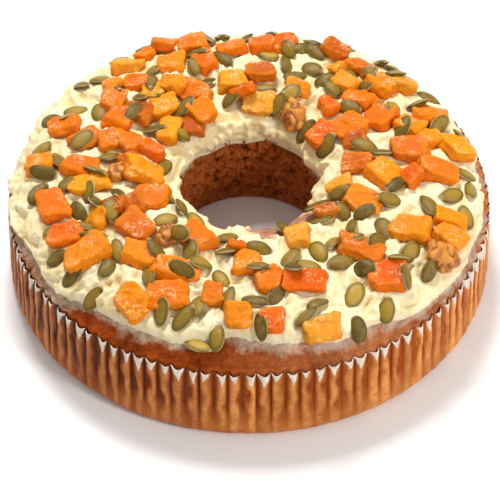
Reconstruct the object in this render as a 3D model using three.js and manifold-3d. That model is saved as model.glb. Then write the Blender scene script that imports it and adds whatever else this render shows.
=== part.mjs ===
// A ring-shaped carrot cake in its pleated paper case, spread with cream cheese frosting and strewn
// with diced dried apricot, pumpkin seeds and a few pieces of walnut. Millimetres, +Z up; the origin
// is the middle of the ring on the surface that the cake stands on, and -Y is the side that is shown.

import * as THREE from "three";
import { mergeVertices } from "three/addons/utils/BufferGeometryUtils.js";
import Module from "manifold-3d";

const wasm = await Module();
wasm.setup();

const { PI, abs, cos, exp, floor, max, min, sin, sqrt } = Math;
const degrees = PI / 180;

// Driving dimensions of the case
const caseRimRadius = 120;
const caseHeight = 43;
const paperThickness = 0.6;
const pleatCount = 112;
const pleatDepth = 1.9;

// Driving dimensions of the cake
const holeRadius = 36;
const crownRadius = 76;
const crownHeight = 57;
const gap = 0.35;

// Driving dimensions of the frosting
const frostingThickness = 4.2;

// How many seeds there are, and the toppings' whole sizes
const firstSeedCount = 14;
const seedCount = 60;
const apricotThickness = [6.8, 5.2];
const scrapThickness = 0.44;
const seedLength = 13.5;
const seedWidth = 7.6;
const seedThickness = 3;

// Numbers from 0 to 1 in a fixed order, so that every build lays the toppings alike
let drawn = 20231;
function draw() {
  drawn = (Math.imul(drawn, 1664525) + 1013904223) >>> 0;
  return drawn / 4294967296;
}

const between = (low, high) => low + (high - low) * draw();
const mix = (a, b, share) => a + (b - a) * share;
const clamp = (value, low, high) => min(high, max(low, value));
const smooth = (share) => {
  const t = clamp(share, 0, 1);
  return t * t * (3 - 2 * t);
};
const bell = (distance, width) => exp(-((distance / width) ** 2));

// The sum of sine waves round the ring, each given as its size, how many there are, and its start
const waves = (list, turn) =>
  list.reduce((sum, [size, count, start]) => sum + size * sin(count * turn + start), 0);

// The cake's crown is half an oval on each side of its highest circle: an ellipse outside and a
// squarer oval round the hole. rise is the angle on that oval: 0 where the crown meets the wall and 90
// degrees at the top.
const wallInset = 0.9;
const wallRadius = caseRimRadius - pleatDepth - paperThickness - gap - wallInset;
const innerSpring = 38;
const outerSpring = caseHeight - 1;
const holeShift = 1.5;
const holeSquareness = 2 / 2.8;

function crownPoint(inside, rise, turn, thickness) {
  const holeHere = holeRadius + holeShift * sin(turn);
  const reach = (inside ? crownRadius - holeHere : wallRadius - crownRadius) + thickness;
  const spring = inside ? innerSpring : outerSpring;
  const tall = crownHeight - spring + thickness;
  const power = inside ? holeSquareness : 1;
  const out = reach * max(0, cos(rise)) ** power;
  return [crownRadius + (inside ? -out : out), spring + tall * sin(rise) ** power];
}

// The lowest rise that the frosting reaches down to outside, in degrees, at even steps round the ring
// from +X. It runs down to the paper on the left and stops short at the front left.
const outerReach = [18, 22, 28, 35, 24, 12, 8, 18, 32, 43, 28, 12];
const outerRipples = [[2.6, 11, 0.7], [2, 19, 2.1]];

function outerEdge(turn) {
  const place = ((turn / (2 * PI) + 1) % 1) * outerReach.length;
  const step = floor(place);
  const here = outerReach[step % outerReach.length];
  const next = outerReach[(step + 1) % outerReach.length];
  return (mix(here, next, smooth(place - step)) + waves(outerRipples, turn)) * degrees;
}

// It also folds over the rim of the hole, least at the back and front.
const innerReach = 12;
const innerRipples = [[8, 2, -PI / 2], [4, 5, 0.4], [3, 9, 0]];

function innerEdge(turn) {
  return (innerReach + waves(innerRipples, turn)) * degrees;
}

// Soft heaps and furrows that the spoon leaves: broad bent ones, and narrow ones across them
const spoon = { broad: 1.1, broadX: 8.6, broadY: 7.4, bendX: 9.3, bendY: 10.4, bend: 1.15, bendFrom: 2 };
const ridge = { height: 0.45, x: 3.9, y: 5.7, acrossX: 6.1, acrossY: 4.3 };

function spoonMarks(x, y) {
  const overX = sin(x / spoon.broadX + spoon.bend * sin(y / spoon.bendY));
  const overY = sin(y / spoon.broadY + spoon.bend * sin(x / spoon.bendX + spoon.bendFrom));
  const narrow = sin(x / ridge.x + y / ridge.y) * sin(y / ridge.acrossY - x / ridge.acrossX);
  return spoon.broad * overX * overY + ridge.height * narrow;
}

// The frosting thickens from its edge over this much rise, and over less at the left, where it bulges
// to the rim of the paper. A lip of it stands on the hole's back rim.
const coverRise = 16;
const bluff = { less: 9, turn: 185, halfTurn: 34 };
const lip = { height: 2.6, halfTurn: 24, rise: 0.62, halfRise: 0.4 };
const fullness = 0.7;

function frostingAt(inside, rise, turn) {
  const edge = inside ? innerEdge(turn) : outerEdge(turn);
  const fromBluff = (((turn / degrees - bluff.turn + 540) % 360) - 180) / bluff.halfTurn;
  const over = coverRise - (inside ? 0 : bluff.less * bell(fromBluff, 1));
  const cover = (rise - edge) / (over * degrees);
  const [r] = crownPoint(inside, rise, turn, 0);
  const marks = spoonMarks(r * cos(turn), r * sin(turn)) * smooth(cover);
  const fromBack = ((turn / degrees - 90 + 540) % 360) - 180;
  const raised = bell(fromBack, lip.halfTurn) * bell(rise - lip.rise, lip.halfRise);
  const lipHere = inside ? lip.height * raised : 0;
  const below = clamp(cover * 4, -1, 0);
  return below + frostingThickness * smooth(cover) ** fullness + marks + lipHere;
}

// Height of the frosting, or of the bare cake past its edge, over a point of the plan
function surfaceHeight(x, y) {
  const r = Math.hypot(x, y);
  const turn = Math.atan2(y, x);
  const inside = r < crownRadius;
  const [wall] = crownPoint(inside, 0, turn, 0);
  const out = clamp(abs(r - crownRadius) / abs(wall - crownRadius), 0, 1);
  const power = inside ? holeSquareness : 1;
  const rise = Math.acos(out ** (1 / power));
  const thickness = max(0, frostingAt(inside, rise, turn));
  const [edge, spring] = crownPoint(inside, 0, turn, thickness);
  const [, top] = crownPoint(inside, PI / 2, turn, thickness);
  const share = clamp(abs(r - crownRadius) / abs(edge - crownRadius), 0, 1) ** (2 / power);
  return spring + (top - spring) * (1 - share) ** (power / 2);
}

// Solids, made from closed triangle meshes
function solid(vertices, faces) {
  return new wasm.Manifold(
    new wasm.Mesh({
      numProp: 3,
      vertProperties: new Float32Array(vertices),
      triVerts: new Uint32Array(faces),
    }),
  );
}

function solidFrom(geometry, shape = (point) => point) {
  geometry.deleteAttribute("normal");
  geometry.deleteAttribute("uv");
  const merged = mergeVertices(geometry, 1e-4);
  const places = merged.getAttribute("position");
  const point = new THREE.Vector3();
  for (let i = 0; i < places.count; i += 1) {
    shape(point.fromBufferAttribute(places, i));
    places.setXYZ(i, point.x, point.y, point.z);
  }
  return solid(places.array, merged.index.array);
}

// A closed ring from one closed section, of radius and height pairs, at each step round the axis
function ring(steps, sectionAt) {
  const vertices = [];
  const faces = [];
  for (let i = 0; i < steps; i += 1) {
    const turn = (2 * PI * i) / steps;
    for (const [r, z] of sectionAt(turn)) {
      vertices.push(r * cos(turn), r * sin(turn), z);
    }
  }
  const corners = vertices.length / 3 / steps;
  for (let i = 0; i < steps; i += 1) {
    for (let k = 0; k < corners; k += 1) {
      const a = i * corners + k;
      const d = i * corners + ((k + 1) % corners);
      const b = (a + corners) % (steps * corners);
      const c = (d + corners) % (steps * corners);
      faces.push(a, b, c, a, c, d);
    }
  }
  return solid(vertices, faces);
}

const largest = (body) =>
  body.decompose().reduce((best, part) => (part.volume() > best.volume() ? part : best));

const joined = (bodies) => bodies.reduce((whole, body) => whole.add(body));

// The paper case: a flat ring under the cake and a pleated wall that bulges a little above its foot.
// Each pleat is a fold and a flute.
const flutePlaces = [0, 0.5];
const holeSides = 32;
const foot = { radius: caseRimRadius - 2.5, beltHeight: 7, beltRadius: caseRimRadius + 1.8 };
const caseHoleRadius = holeRadius + 6.5;

function pleatedOutline(radius, depth, height) {
  const points = [];
  for (let pleat = 0; pleat < pleatCount; pleat += 1) {
    flutePlaces.forEach((place, corner) => {
      const turn = (2 * PI * (pleat + place - 0.5)) / pleatCount;
      const r = radius - (corner === 0 ? depth : 0);
      points.push(new THREE.Vector3(r * cos(turn), r * sin(turn), height));
    });
  }
  return points;
}

function circleOutline(radius, sides, height) {
  return Array.from({ length: sides }, (_, i) => {
    const turn = (2 * PI * i) / sides;
    return new THREE.Vector3(radius * cos(turn), radius * sin(turn), height);
  });
}

function paperCase() {
  const vertices = [];
  const faces = [];
  const place = (outline) => {
    const first = vertices.length / 3;
    outline.forEach((p) => vertices.push(p.x, p.y, p.z));
    return { first, outline };
  };
  // A band of faces from one outline to the next, which has as many corners
  const band = (from, to) => {
    const count = from.outline.length;
    for (let i = 0; i < count; i += 1) {
      const j = (i + 1) % count;
      faces.push(from.first + i, from.first + j, to.first + j);
      faces.push(from.first + i, to.first + j, to.first + i);
    }
  };
  const plate = (outer, hole, facesUp) => {
    const number = (k) =>
      k < outer.outline.length ? outer.first + k : hole.first + k - outer.outline.length;
    const triangles = THREE.ShapeUtils.triangulateShape(
      outer.outline.map((p) => new THREE.Vector2(p.x, p.y)),
      [hole.outline.map((p) => new THREE.Vector2(p.x, p.y))],
    );
    for (const [a, b, c] of triangles) {
      faces.push(...(facesUp ? [a, b, c] : [a, c, b]).map(number));
    }
  };
  const pleated = (radius, depth, height) => place(pleatedOutline(radius, depth, height));
  const soleDepth = pleatDepth * 0.5;
  const beltDepth = pleatDepth * 0.85;
  const sole = pleated(foot.radius, soleDepth, 0);
  const belt = pleated(foot.beltRadius, beltDepth, foot.beltHeight);
  const edge = pleated(caseRimRadius, pleatDepth, caseHeight);
  const edgeInside = pleated(caseRimRadius - paperThickness, pleatDepth, caseHeight);
  const beltRadiusInside = foot.beltRadius - paperThickness;
  const beltInside = pleated(beltRadiusInside, beltDepth, foot.beltHeight + paperThickness);
  const floorEdge = pleated(foot.radius - paperThickness, soleDepth, paperThickness);
  const holeBelow = place(circleOutline(caseHoleRadius, holeSides, 0));
  const holeAbove = place(circleOutline(caseHoleRadius, holeSides, paperThickness));
  band(sole, belt);
  band(belt, edge);
  band(edge, edgeInside);
  band(edgeInside, beltInside);
  band(beltInside, floorEdge);
  plate(floorEdge, holeAbove, true);
  plate(sole, holeBelow, false);
  band(holeAbove, holeBelow);
  return solid(vertices, faces);
}

// The sponge: a ring whose hole widens downwards and has a blunt lower edge, domed over the case's rim.
// holeChamfer is how far that edge starts from the hole, its height, and where it ends on the bottom.
// grown moves the crown and walls outwards, for cutting a clearance.
const cakeSteps = 48;
const crownRises = [0, 14, 30, 50, 76].map((angle) => angle * degrees);
const holeChamfer = [1.6, 6.5, 4.6];

function cake(grown = 0) {
  return ring(cakeSteps, (turn) => {
    const clear = paperThickness + pleatDepth + gap - grown;
    const shift = holeShift * sin(turn) - grown;
    const bottom = paperThickness + gap - grown;
    const inner = crownRises.map((rise) => crownPoint(true, rise, turn, grown));
    const outer = crownRises.map((rise) => crownPoint(false, rise, turn, grown));
    return [
      [holeRadius + holeChamfer[0] + shift, holeChamfer[1]],
      [holeRadius + holeChamfer[2] + shift, bottom],
      [foot.radius - clear, bottom],
      [foot.beltRadius - clear, foot.beltHeight],
      ...outer,
      ...inner.reverse(),
    ];
  });
}

// The frosting follows the crown outwards by its thickness there, and turns back inside the sponge,
// which is then cut out of it. raised lifts it, for cutting a clearance.
const turnBack = -4;
const frostingSteps = 48;
const frostingRises = [5, 14, 26, 40, 58, 80].map((angle) => angle * degrees);

function frosting(raised = 0) {
  const blob = ring(frostingSteps, (turn) => {
    const at = (inside) => (rise) => {
      const [r, z] = crownPoint(inside, rise, turn, frostingAt(inside, rise, turn));
      return [r, z + raised];
    };
    const under = (inside) => crownPoint(inside, frostingRises[0], turn, turnBack);
    return [
      under(true),
      under(false),
      ...frostingRises.map(at(false)),
      ...frostingRises.map(at(true)).reverse(),
    ];
  });
  return largest(blob.subtract(cake(gap)));
}

// The toppings fall one after another on a relief map of the frosting, and each comes to rest on
// what lies there.
const reliefHalf = 124;
const reliefSide = 2 * reliefHalf + 1;
const relief = new Float64Array(reliefSide * reliefSide);
for (let j = 0; j < reliefSide; j += 1) {
  for (let i = 0; i < reliefSide; i += 1) {
    relief[j * reliefSide + i] = surfaceHeight(i - reliefHalf, j - reliefHalf);
  }
}
const bareRelief = relief.slice();

function reliefAt(x, y, map = relief) {
  const u = clamp(x + reliefHalf, 0, reliefSide - 2);
  const v = clamp(y + reliefHalf, 0, reliefSide - 2);
  const i = floor(u);
  const j = floor(v);
  const at = (p, q) => map[q * reliefSide + p];
  const near = mix(at(i, j), at(i + 1, j), u - i);
  return mix(near, mix(at(i, j + 1), at(i + 1, j + 1), u - i), v - j);
}

const gripShare = 0.7;

// The pose in which a topping of these half sizes rests: a matrix that turns and places it. lean is how
// much steeper than what is under it a topping lies, along and across its length.
function settle(item) {
  const { x, y, yaw, half, sink, tilt, lean } = item;
  const along = [cos(yaw), sin(yaw)];
  const across = [-sin(yaw), cos(yaw)];
  const probe = ([ux, uy], reach) => reliefAt(x + ux * reach, y + uy * reach);
  const grip = half.map((size) => size * gripShare);
  const ends = [probe(along, grip[0]), probe(along, -grip[0])];
  const sides = [probe(across, grip[1]), probe(across, -grip[1])];
  const steepest = Math.tan(tilt);
  const pitch = clamp((ends[0] - ends[1]) / (2 * grip[0]), -steepest, steepest);
  const roll = clamp((sides[0] - sides[1]) / (2 * grip[1]), -steepest, steepest);
  const rest = max(reliefAt(x, y), (ends[0] + ends[1]) / 2, (sides[0] + sides[1]) / 2);
  const [climb, bank] = [pitch + lean[0], roll + lean[1]];
  const slope = sqrt(1 + climb * climb + bank * bank);
  const z = rest + (half[2] - sink) * slope;
  stamp(item, along, across, pitch, roll, z);
  const u = new THREE.Vector3(along[0], along[1], climb).normalize();
  const w = u.clone().cross(new THREE.Vector3(across[0], across[1], bank)).normalize();
  const v = w.clone().cross(u);
  return new THREE.Matrix4().makeBasis(u, v, w).setPosition(x, y, z);
}

function stamp({ x, y, half }, along, across, pitch, roll, z) {
  const reach = Math.ceil(max(half[0], half[1]));
  for (let j = floor(y) - reach; j <= floor(y) + reach + 1; j += 1) {
    for (let i = floor(x) - reach; i <= floor(x) + reach + 1; i += 1) {
      const a = (i - x) * along[0] + (j - y) * along[1];
      const b = (i - x) * across[0] + (j - y) * across[1];
      const off = (a / half[0]) ** 2 + (b / half[1]) ** 2;
      if (off < 1) {
        const cell = (j + reliefHalf) * reliefSide + i + reliefHalf;
        const top = z + a * pitch + b * roll + half[2] * sqrt(1 - off * off);
        relief[cell] = max(relief[cell], top);
      }
    }
  }
}

// Where the next seed falls: of a few spots drawn, the one furthest from other seeds and least high on
// the fruit. low and high are its nearest and furthest distance from the axis.
const strewn = { low: 41, high: 111, tries: 12, heapShare: 1.6 };

function seedSpot(laid) {
  let best = {};
  for (let k = 0; k < strewn.tries; k += 1) {
    const turn = 2 * PI * draw();
    const r = sqrt(mix(strewn.low ** 2, strewn.high ** 2, draw()));
    const x = r * cos(turn);
    const y = r * sin(turn);
    const apart = min(...laid.map((other) => Math.hypot(x - other.x, y - other.y) - other.room));
    const clear = apart - strewn.heapShare * (reliefAt(x, y) - reliefAt(x, y, bareRelief));
    if (k === 0 || clear > best.clear) best = { x, y, clear };
  }
  return best;
}

// Walnut pieces: azimuth in degrees, distance from the axis, and whole length, width and thickness
const walnutSpots = [
  [327, 109, 19, 15, 8],
  [60, 44, 18, 13, 9],
  [186, 64, 14, 10, 7],
  [232, 63, 13, 10, 7],
];

// Larger dice of apricot: azimuth in degrees, distance from the axis, whole length and width, and
// which way the length points in the plan, in degrees
const apricotSpots = [
  [7, 79, 19, 16, 0], [22, 99, 18, 15, -30], [8, 104, 17, 13, -60], [27, 73, 18, 16, 60],
  [29, 56, 20, 17, 35], [40, 73, 15, 13, -30], [40, 90, 15, 13, -40], [52, 93, 17, 11, -25],
  [1, 53, 16, 12, -10], [354, 66, 18, 16, -40], [357, 92, 21, 13, 0], [334, 61, 20, 15, -25],
  [330, 89, 18, 14, -20], [340, 102, 17, 11, -10], [334, 105, 17, 12, -30], [311, 79, 22, 12, -15],
  [312, 98, 19, 16, 0], [288, 83, 22, 14, -5], [288, 108, 18, 12, 15], [277, 79, 16, 12, 30],
  [269, 67, 15, 14, 90], [267, 98, 14, 13, 90], [245, 80, 22, 12, -5], [246, 94, 20, 16, -5],
  [244, 57, 19, 16, -50], [239, 105, 17, 14, -40], [230, 80, 20, 16, -20], [220, 70, 18, 15, -45],
  [218, 97, 22, 14, 30], [208, 99, 18, 13, 5], [196, 98, 21, 15, 105], [206, 53, 17, 15, -10],
  [188, 52, 20, 15, 0], [190, 79, 19, 11, 15], [181, 82, 19, 13, -10], [163, 97, 18, 13, 5],
  [168, 84, 18, 12, 35], [165, 61, 16, 11, -60], [148, 48, 17, 12, 80], [154, 72, 15, 13, 70],
  [145, 67, 17, 11, -50], [146, 83, 17, 12, 75], [136, 60, 16, 12, 30], [133, 44, 16, 12, 0],
  [122, 46, 14, 13, -45], [119, 59, 19, 15, -35], [118, 86, 15, 14, 0], [108, 96, 15, 13, 0],
  [97, 62, 16, 13, 10], [96, 88, 15, 12, 10], [79, 94, 15, 13, 80], [85, 69, 16, 14, 0],
  [84, 46, 21, 15, -10],
];

// Smaller dice of apricot, given alike
const scrapSpots = [
  [37, 99, 14, 9, -20], [62, 97, 15, 9, -20], [47, 59, 12, 9, -70], [18, 55, 12, 9, 0],
  [353, 80, 12, 10, 40], [343, 47, 13, 12, 0], [322, 48, 12, 9, 0], [259, 87, 12, 10, 90],
  [208, 64, 12, 10, 20], [166, 72, 12, 11, 30], [168, 49, 14, 8, -35], [133, 84, 12, 10, 0],
  [122, 102, 12, 9, 60], [116, 103, 12, 8, 10], [93, 51, 12, 9, 0], [12, 93, 13, 11, 20],
  [51, 77, 14, 11, -40], [107, 80, 13, 10, -60], [66, 61, 15, 9, -20], [206, 73, 14, 10, 10],
  [294, 56, 13, 13, 0], [276, 101, 14, 12, 90], [86, 90, 14, 12, 0], [19, 85, 14, 12, -30],
  [34, 44, 14, 12, 40], [130, 98, 15, 11, -10], [125, 69, 14, 10, -40], [178, 104, 14, 13, 0],
];

// sink is how deep a topping is pressed in, and tilt is the steepest that it lies
const roomShare = 0.4;
const walnutLie = { sink: 1.2, tilt: 0.6, lean: [0, 0] };
const seedTilt = 0.75;
const seedLean = [0.25, 0.75];
const fruitTilt = 0.5;
const fruitLean = [0.22, 0.22];
const fruitSink = [0.6, 1.6];

function topping(kind, place, size, extra) {
  const half = size.map((length) => length / 2);
  const item = { kind, x: place.x, y: place.y, half, room: half[0] * roomShare, ...extra };
  item.pose = settle(item);
  item.centre = new THREE.Vector3().setFromMatrixPosition(item.pose);
  return item;
}

function layToppings() {
  const placeAt = (turn, r) => ({ x: r * cos(turn), y: r * sin(turn) });
  const walnuts = walnutSpots.map(([azimuth, r, ...size]) => {
    const turn = azimuth * degrees;
    const place = placeAt(turn, r);
    return topping("walnut", place, size, { yaw: turn + 0.6, room: size[0] / 2, ...walnutLie });
  });
  const fruit = [...walnuts];
  const seeds = [];
  const drawLean = (most) => most.map((steep) => between(-steep, steep));
  const laySeed = () => {
    const grow = between(0.86, 1.12);
    const size = [seedLength * grow, seedWidth * between(0.88, 1.12), seedThickness];
    const place = seedSpot(seeds.length ? seeds : walnuts);
    const yaw = between(0, 2 * PI);
    const lie = { yaw, sink: between(0.2, 1), tilt: seedTilt, lean: drawLean(seedLean) };
    seeds.push(topping("seed", place, size, lie));
  };
  const layFruit = (kind, spots) => {
    for (const [azimuth, r, length, width, points] of spots) {
      const thickness = kind === "apricot" ? between(...apricotThickness) : length * scrapThickness;
      const place = placeAt(azimuth * degrees, r);
      const sink = between(...fruitSink);
      const lie = { yaw: points * degrees, sink, tilt: fruitTilt, lean: drawLean(fruitLean) };
      fruit.push(topping(kind, place, [length, width, thickness], lie));
    }
  };
  for (let k = 0; k < firstSeedCount; k += 1) laySeed();
  layFruit("apricot", apricotSpots);
  layFruit("scrap", scrapSpots);
  for (let k = firstSeedCount; k < seedCount; k += 1) laySeed();
  return { fruit, seeds };
}

// A dice of apricot: an eight-cornered slab with its upper face the smaller, whose faces don't quite
// match. One that lies on the frosting takes the frosting's slope underneath. swell enlarges it about
// its middle.
const restGap = 0.8;
const clearSwell = 1.08;
const cornerReach = 1.45;
const bevelHalf = 7 * degrees;
const upperTaper = 0.9;
const cornerOut = 1.27;
const capBulge = 1.06;
const leanShare = 0.7;

function dice(item, swell = 1, onFrosting = false) {
  const [a, b, c] = item.half;
  const skew = item.skew;
  return solidFrom(new THREE.CylinderGeometry(1, 1, 2, 8, 1), (p) => {
    const level = p.y;
    const turn = Math.atan2(-p.z, p.x);
    const onAxis = Math.hypot(p.x, p.z) < 0.5;
    const corner = Math.round(turn / (PI / 4)) & 7;
    const quarter = corner >> 1;
    const angle = (quarter + 0.5) * (PI / 2) + (corner & 1 ? bevelHalf : -bevelHalf);
    const taper = level > 0 ? upperTaper : 1;
    const wide = onAxis ? 0 : cornerOut * taper * skew[quarter];
    const lean = level * (skew[4 + quarter] - 1) * leanShare;
    const tall = c * level * (onAxis ? capBulge : skew[(quarter + 5) & 7]);
    p.set(a * (wide * cos(angle) + lean), b * wide * sin(angle), tall);
    p.applyMatrix4(item.pose);
    if (onFrosting) p.z = max(p.z, surfaceHeight(p.x, p.y) + restGap);
    p.sub(item.centre).multiplyScalar(swell).add(item.centre);
  });
}

// A hulled pumpkin seed: a flat drop with one pointed end
const seedPoint = 0.22;

function seed(item) {
  const [a, b, c] = item.half;
  return solidFrom(new THREE.SphereGeometry(1, 6, 2), (p) => {
    const point = 1 - seedPoint * max(0, p.x);
    p.set(a * p.x, -b * p.z * point, c * p.y).applyMatrix4(item.pose);
  });
}

// A broken walnut kernel: a flat lump with lobes round it and a furrow along it
const lobe = { count: 5, depth: 0.14 };
const furrowed = { depth: 0.3, half: 0.28 };

function walnut(item, swell = 1) {
  const [a, b, c] = item.half.map((size) => size * swell);
  return solidFrom(new THREE.IcosahedronGeometry(1, 1), (p) => {
    const lobes = 1 - lobe.depth + lobe.depth * cos(lobe.count * Math.atan2(p.y, p.x));
    const furrow = 1 - furrowed.depth * bell(p.y, furrowed.half) * (p.z > 0 ? 1 : 0);
    p.set(a * p.x * lobes, b * p.y * lobes, c * p.z * furrow).applyMatrix4(item.pose);
  });
}

// Every corner of a dice of fruit is drawn in or out by its own share.
const skewRange = [0.8, 1.14];

// Materials
const paint = (color, roughness) =>
  new THREE.MeshStandardMaterial({ color, roughness, metalness: 0 });
const paperPaint = paint(0xb06a3c, 0.6);
const spongePaint = paint(0x6e2f14, 0.9);
const frostingPaint = paint(0xf6ecc0, 0.55);
const apricotPaint = paint(0xec7a1e, 0.35);
const walnutPaint = paint(0xb87434, 0.55);

const carrotCake = new THREE.Group();

// origin moves a piece's own frame to its middle, as for the toppings
function addPiece(name, body, material, origin = new THREE.Vector3()) {
  const { vertProperties, triVerts } = body.getMesh();
  const geometry = new THREE.BufferGeometry();
  geometry.setAttribute("position", new THREE.BufferAttribute(vertProperties, 3));
  geometry.setIndex(new THREE.BufferAttribute(triVerts, 1));
  geometry.translate(-origin.x, -origin.y, -origin.z);
  geometry.computeVertexNormals();
  const mesh = new THREE.Mesh(geometry, material);
  mesh.name = name;
  mesh.position.copy(origin);
  carrotCake.add(mesh);
}

const { fruit, seeds } = layToppings();
fruit.forEach((item) => {
  item.skew = Array.from({ length: 8 }, () => between(...skewRange));
});
const shape = (item, swell) =>
  item.kind === "walnut" ? walnut(item, swell) : dice(item, swell, true);
const onTheirOwn = fruit.filter((item) => item.kind !== "scrap");
const scraps = fruit.filter((item) => item.kind === "scrap");

addPiece("paper_case", paperCase(), paperPaint);
addPiece("sponge", cake(), spongePaint);

// Seeds and scraps are one with the frosting, and stay clear of the larger pieces.
const bare = frosting();
const clearance = joined(onTheirOwn.map((item) => shape(item, clearSwell)));
const small = joined([...seeds.map(seed), ...scraps.map((item) => dice(item))]);
const trimmed = small.subtract(clearance).subtract(cake(gap));
addPiece("frosting", largest(bare.add(trimmed)), frostingPaint);

// The larger pieces are cut where they would meet an earlier one, or the frosting.
const cutter = bare.add(frosting(gap)).add(cake(gap));
let number = 0;
onTheirOwn.forEach((item, k) => {
  const near = onTheirOwn.slice(0, k).filter((other) => {
    const apart = Math.hypot(item.x - other.x, item.y - other.y);
    return apart < cornerReach * (item.half[0] + other.half[0]);
  });
  const cut = (body, other) => body.subtract(shape(other, clearSwell));
  const own = near.reduce(cut, shape(item, 1));
  const piece = largest(own.subtract(cutter));
  if (item.kind === "apricot") number += 1;
  const name = item.kind === "walnut" ? `walnut_${k + 1}` : `apricot_${number}`;
  const paintHere = item.kind === "walnut" ? walnutPaint : apricotPaint;
  addPiece(name, piece, paintHere, item.centre);
});

export default carrotCake;
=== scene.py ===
# Ring-shaped carrot cake in its pleated paper case, with cream cheese frosting, diced dried apricots,
# pumpkin seeds and pieces of walnut. Metres, +Z up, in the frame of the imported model.
import math

import bpy
import numpy as np
from mathutils import Matrix, Vector, noise


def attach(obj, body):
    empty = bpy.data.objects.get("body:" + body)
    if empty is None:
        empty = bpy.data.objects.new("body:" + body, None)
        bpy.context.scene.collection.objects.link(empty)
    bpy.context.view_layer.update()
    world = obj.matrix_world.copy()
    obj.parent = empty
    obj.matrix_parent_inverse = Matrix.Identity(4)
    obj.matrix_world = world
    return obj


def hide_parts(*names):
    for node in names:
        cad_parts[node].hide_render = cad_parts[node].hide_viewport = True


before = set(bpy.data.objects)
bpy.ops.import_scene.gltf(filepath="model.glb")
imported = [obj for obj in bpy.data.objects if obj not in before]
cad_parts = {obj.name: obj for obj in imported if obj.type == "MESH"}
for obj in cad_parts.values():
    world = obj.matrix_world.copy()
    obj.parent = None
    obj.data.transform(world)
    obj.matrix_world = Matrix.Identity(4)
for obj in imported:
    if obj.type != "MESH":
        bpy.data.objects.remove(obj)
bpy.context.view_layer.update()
bpy.ops.object.select_all(action="DESELECT")
scene = bpy.context.scene

# Camera. The photograph looks down at the cake at 46 degrees from about a metre away. axis_pixel is
# where the middle of the cake's underside lies in it.
view_elevation = math.radians(46.1)
view_distance = 1.0
photo_side = 500
focal_pixels = 1945
axis_pixel = (249.3, 252.6)
sensor_width = 36
lens = bpy.data.cameras.new("photo_camera")
lens.sensor_width = sensor_width
lens.lens = focal_pixels * sensor_width / photo_side
lens.shift_x = 0.5 - axis_pixel[0] / photo_side
lens.shift_y = axis_pixel[1] / photo_side - 0.5
camera = bpy.data.objects.new("photo_camera", lens)
camera.location = (0, -view_distance * math.cos(view_elevation), view_distance * math.sin(view_elevation))
camera.rotation_euler = (math.pi / 2 - view_elevation, 0, 0)
scene.collection.objects.link(camera)
scene.camera = camera
scene.view_settings.view_transform = "Standard"


# Table and light. A plain pale table, a lamp overhead and a little behind, and a smaller one to the
# right of the camera, which leaves the left of the case in shade as in the photograph.
def paint(hex_colour):
    """A colour written as in a paint program, as the linear values that a shader takes."""
    channels = [int(hex_colour[k : k + 2], 16) / 255 for k in (0, 2, 4)]
    return [c / 12.92 if c <= 0.04045 else ((c + 0.055) / 1.055) ** 2.4 for c in channels] + [1.0]


def new_material(name, roughness, **values):
    """A material with these values on its shader. Its tree and shader come back with it."""
    material = bpy.data.materials.new(name)
    material.use_nodes = True
    shader = material.node_tree.nodes["Principled BSDF"]
    shader.inputs["Roughness"].default_value = roughness
    for socket, value in values.items():
        shader.inputs[socket.replace("_", " ")].default_value = value
    return material, material.node_tree, shader


table_side = 6
bpy.ops.mesh.primitive_plane_add(size=table_side, location=(0, 0, 0))
table = bpy.context.object
table.name = "table"
table_finish, _, table_shader = new_material("pale_table", 0.8)
table_shader.inputs["Base Color"].default_value = paint("f4f3f1")
table.data.materials.append(table_finish)

room = bpy.data.worlds.new("pale_room")
room.use_nodes = True
room.node_tree.nodes["Background"].inputs["Color"].default_value = (1.0, 1.0, 1.0, 1.0)
room.node_tree.nodes["Background"].inputs["Strength"].default_value = 0.56
scene.world = room


def soft_lamp(name, place, size, power):
    """A square lamp of this size in metres, turned towards the cake."""
    lamp = bpy.data.lights.new(name, "AREA")
    lamp.size = size
    lamp.energy = power
    holder = bpy.data.objects.new(name, lamp)
    holder.location = place
    holder.rotation_euler = Vector(place).to_track_quat("Z", "Y").to_euler()
    scene.collection.objects.link(holder)


soft_lamp("overhead_lamp", (-0.12, 0.45, 1.05), 0.28, 11)
soft_lamp("right_lamp", (0.9, -0.75, 0.75), 0.22, 8)


# Paper case. Greaseproof paper pressed into flutes round a flat ring, soaked brown by the cake's fat
# except for dry tips at the rim. It is one sheet: the base ring runs into the wall at a rounded foot.
millimetre = 0.001
case_rim_radius = 120.0
case_height = 43.0
paper_thickness = 0.5
pleat_count = 112
pleat_depth = 1.9
corners_in_a_pleat = 12
foot_radius = case_rim_radius - 2.5
belt_radius = case_rim_radius + 1.8
belt_height = 7.0
case_hole_radius = 42.5
wall_heights = [0.7, 2.0, 4.2, 7.0, 11, 16, 21, 26, 31, 35, 38, 39.4, 40.3, 41.0, 41.6, 42.1, 42.6, 43.0]
drawn_case = np.random.default_rng(7)


def finish_with(piece, kind, **settings):
    """Adds a modifier with these settings and applies it."""
    bpy.context.view_layer.objects.active = piece
    modifier = piece.modifiers.new(kind.lower(), kind)
    for name, value in settings.items():
        setattr(modifier, name, value)
    bpy.ops.object.modifier_apply(modifier=modifier.name)


def points_of(piece):
    """The places of a mesh's vertices, in millimetres."""
    places = np.empty(len(piece.data.vertices) * 3)
    piece.data.vertices.foreach_get("co", places)
    return places.reshape(-1, 3) / millimetre


def put_points(piece, places):
    piece.data.vertices.foreach_set("co", (places * millimetre).ravel())
    piece.data.update()


def round_axis(radius, turn, height):
    """Places at these radii, turns and heights."""
    return np.column_stack([radius * np.cos(turn), radius * np.sin(turn), height])


def keep_value(piece, name, values):
    """Stores one number for each vertex, for a material to read."""
    store = piece.data.attributes.new(name, "FLOAT", "POINT")
    store.data.foreach_set("value", np.asarray(values, dtype=np.float32))


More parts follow.
